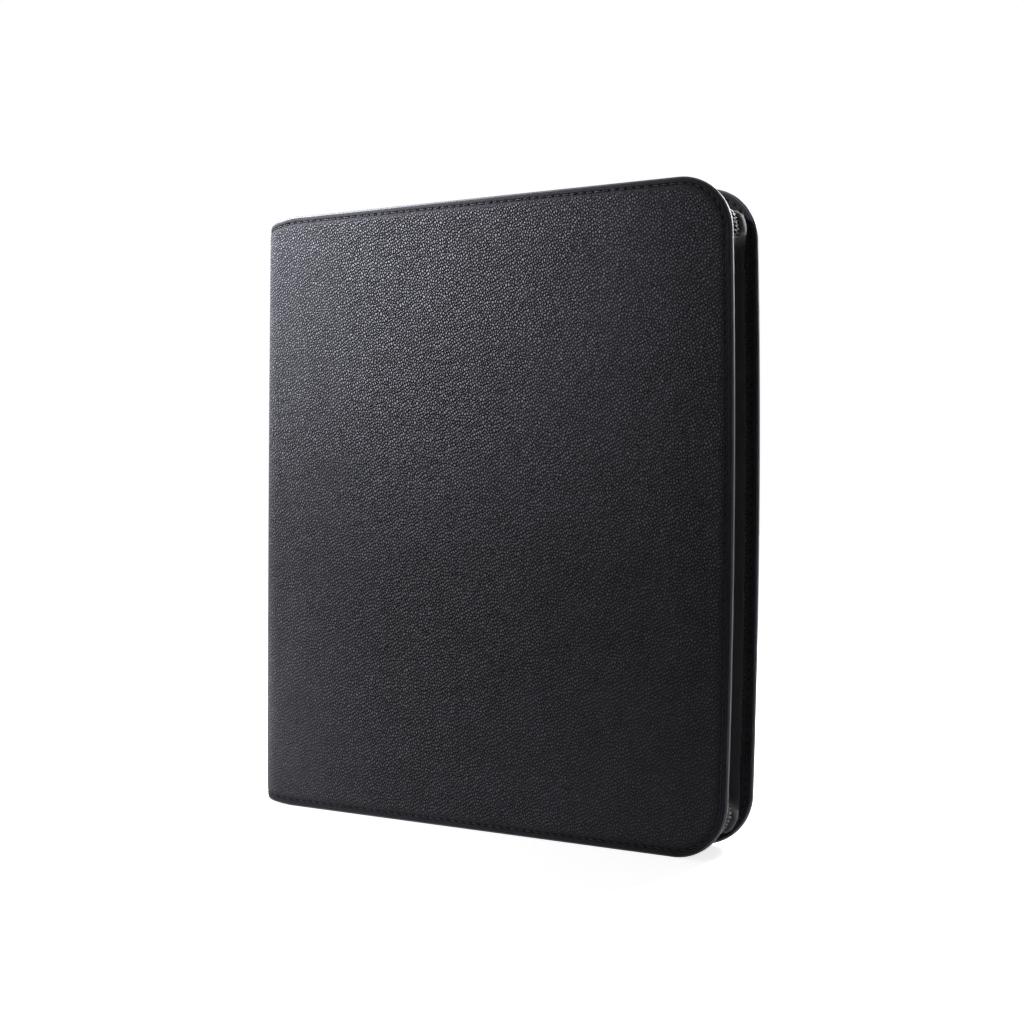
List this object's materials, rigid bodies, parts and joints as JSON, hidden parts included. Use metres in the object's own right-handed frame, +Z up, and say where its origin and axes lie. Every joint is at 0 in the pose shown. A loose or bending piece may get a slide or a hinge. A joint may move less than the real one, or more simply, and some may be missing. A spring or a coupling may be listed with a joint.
{
  "type": "document folder",
  "caption": "Zip-around padded leather document folder with a ring mechanism, inner pockets and a pen loop, closed and standing on its bottom edge.",
  "frame": {"origin": "middle of the footprint, on the surface that the closed folder stands on", "axes": "+X from the spine to the fore edge, +Y through the thickness from the front cover to the back cover, +Z up along the spine"},
  "size_m": [0.292, 0.04, 0.34],
  "materials": {
    "cover_leather": "pebbled black, semi-matt",
    "trim_leather": "fine-grained black, matt",
    "padding_foam": "open foam",
    "grey_board": "raw grey board",
    "lining_fabric": "plain woven, matt",
    "zip_tape": "woven tape, matt",
    "zip_coil": "nylon coil, satin",
    "elastic": "ribbed elastic, matt",
    "zip_metal": "dark nickel, satin",
    "ring_steel": "nickel plated, polished"
  },
  "bodies": {
    "back_cover": {"back_leather": "cover_leather", "back_padding": "padding_foam", "back_board": "grey_board", "back_lining": "lining_fabric", "back_zip_tape": "zip_tape", "back_zip_coil": "zip_coil", "zip_top_stop_back": "zip_metal", "zip_bottom_stop": "zip_metal", "ring_channel": "ring_steel", "ring_rivet_top": "ring_steel", "ring_rivet_bottom": "ring_steel", "lever_pin_top": "ring_steel", "lever_pin_bottom": "ring_steel"},
    "spine": {"spine_leather": "cover_leather", "spine_board": "grey_board", "spine_lining": "lining_fabric", "pen_loop": "elastic"},
    "front_cover": {"front_leather": "cover_leather", "front_padding": "padding_foam", "front_board": "grey_board", "front_lining": "lining_fabric", "front_zip_tape": "zip_tape", "front_zip_coil": "zip_coil", "zip_top_stop_front": "zip_metal", "document_pocket": "trim_leather", "card_pocket_1": "trim_leather", "card_pocket_2": "trim_leather", "card_pocket_3": "trim_leather"},
    "zip_slider": {"zip_slider": "zip_metal"},
    "zip_pull": {"pull_tongue": "zip_metal", "pull_leather": "trim_leather"},
    "rings_fore_side": {"blade_fore_side": "ring_steel", "half_ring_fore_side_1": "ring_steel", "half_ring_fore_side_2": "ring_steel", "half_ring_fore_side_3": "ring_steel", "half_ring_fore_side_4": "ring_steel"},
    "rings_spine_side": {"blade_spine_side": "ring_steel", "half_ring_spine_side_1": "ring_steel", "half_ring_spine_side_2": "ring_steel", "half_ring_spine_side_3": "ring_steel", "half_ring_spine_side_4": "ring_steel"},
    "top_lever": {"ring_lever_top": "ring_steel"},
    "bottom_lever": {"ring_lever_bottom": "ring_steel"}
  },
  "joints": [
    {"name": "back_crease", "type": "hinge", "parent": "back_cover", "child": "spine", "pos_m": [-0.14342, 0.01642, 0.17], "axis": [0, 0, -1], "range_deg": [0, 90]},
    {"name": "front_crease", "type": "hinge", "parent": "spine", "child": "front_cover", "pos_m": [-0.14342, -0.01642, 0.17], "axis": [0, 0, -1], "range_deg": [0, 90]},
    {"name": "zip_slide", "type": "slide", "parent": "back_cover", "child": "zip_slider", "axis": [1, 0, 0], "range_m": [0, 0.2]},
    {"name": "pull_swing", "type": "hinge", "parent": "zip_slider", "child": "zip_pull", "pos_m": [-0.112, 0, 0.3345], "axis": [0, -1, 0], "range_deg": [0, 170]},
    {"name": "rings_open", "type": "hinge", "parent": "back_cover", "child": "rings_fore_side", "pos_m": [-0.112, 0.0112, 0.17], "axis": [0, 0, 1], "range_deg": [0, 14]},
    {"name": "rings_open_spine_side", "type": "hinge", "parent": "back_cover", "child": "rings_spine_side", "pos_m": [-0.112, 0.0112, 0.17], "axis": [0, 0, -1], "range_deg": [0, 14]},
    {"name": "top_lever_press", "type": "hinge", "parent": "back_cover", "child": "top_lever", "pos_m": [-0.112, 0.0104, 0.309], "axis": [-1, 0, 0], "range_deg": [0, 28]},
    {"name": "bottom_lever_press", "type": "hinge", "parent": "back_cover", "child": "bottom_lever", "pos_m": [-0.112, 0.0104, 0.031], "axis": [1, 0, 0], "range_deg": [0, 28]}
  ],
  "couplings": [
    {"joint": "rings_open_spine_side", "follows": "rings_open", "ratio": 1},
    {"joint": "top_lever_press", "follows": "rings_open", "ratio": 2},
    {"joint": "bottom_lever_press", "follows": "rings_open", "ratio": 2}
  ]
}
